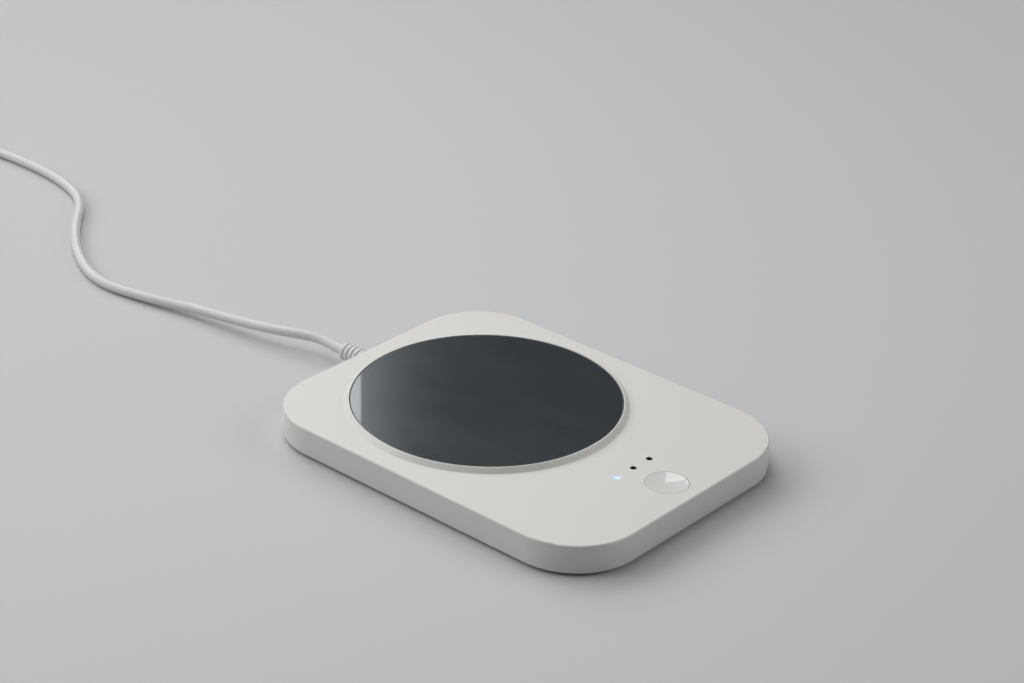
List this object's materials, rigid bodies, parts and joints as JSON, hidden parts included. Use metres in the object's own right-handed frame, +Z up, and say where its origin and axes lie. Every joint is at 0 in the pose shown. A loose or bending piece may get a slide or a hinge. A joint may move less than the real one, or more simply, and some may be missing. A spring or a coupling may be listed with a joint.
{
  "type": "electric mug warmer",
  "caption": "Flat desktop mug warmer with a round heated glass disc, indicator lights, a dished push button and a low-voltage lead.",
  "frame": {"origin": "on the table under the middle of the casing", "axes": "+Z up; +X along the casing towards the end with the button, away from the cord; +Y to the left when looking along +X"},
  "size_m": [0.44, 0.108, 0.0124],
  "materials": {
    "casing": "matt warm white moulded plastic",
    "base": "matt off-white moulded plastic",
    "glass": "dark blue-grey polished glass, opaque from its coated back",
    "silicone": "black silicone",
    "foot_rubber": "soft grey rubber",
    "aluminium": "rolled aluminium sheet",
    "mica": "pressed mica sheet",
    "track": "etched resistance alloy",
    "felt": "white ceramic fibre felt",
    "steel": "zinc-plated steel",
    "sensor": "black moulded sensor housing",
    "fuse": "cream thermal fuse case",
    "wire_white": "white silicone insulation",
    "wire_red": "red wire insulation",
    "wire_black": "black wire insulation",
    "board": "green circuit board",
    "chip": "black moulded package",
    "switch": "black switch housing",
    "button": "glossy white plastic",
    "led": "white LED package",
    "lens_lit": "clear light pipe, lit blue-white",
    "lens_dark": "clear light pipe, dark when unlit",
    "shield": "black light shield",
    "cord": "white satin cord sheath",
    "plug": "white plug overmould",
    "plug_shell": "nickel-plated shell",
    "contacts": "gold-plated contacts"
  },
  "bodies": {
    "casing": {"top_cover": "casing", "bottom_cover": "base", "case_screws": "steel", "rubber_feet": "foot_rubber", "glass_plate": "glass", "glass_seal": "silicone", "heat_spreader": "aluminium", "mica_sheet_upper": "mica", "heater_track": "track", "mica_sheet_lower": "mica", "insulation_pad": "felt", "heater_backplate": "steel", "heater_screws": "steel", "temperature_sensor": "sensor", "sensor_wires": "wire_black", "thermal_fuse": "fuse", "heater_wire_a": "wire_white", "heater_wire_b": "wire_white", "fuse_wire": "wire_white", "supply_wire_red": "wire_red", "supply_wire_black": "wire_black", "control_board": "board", "board_screws": "steel", "control_chip": "chip", "power_transistor": "chip", "tact_switch": "switch", "status_led_1": "led", "status_led_2": "led", "status_led_3": "led", "status_lens_1": "lens_lit", "status_lens_2": "lens_dark", "status_lens_3": "lens_dark", "light_shield": "shield", "strain_relief": "cord", "inner_sheath": "cord", "cord_tie": "wire_white", "power_cord": "cord", "power_cord_coil": "cord", "power_cord_tail": "cord", "usb_plug_body": "plug", "usb_plug_shell": "plug_shell", "usb_plug_tongue": "plug", "usb_plug_contacts": "contacts"},
    "power_button": {"button_cap": "button", "switch_plunger": "switch"}
  },
  "joints": [
    {"name": "power_button_press", "type": "slide", "parent": "casing", "child": "power_button", "axis": [0, 0, -1], "range_m": [0, 0.0004], "stiffness_N_per_m": 3000, "springref_m": -0.0001}
  ]
}
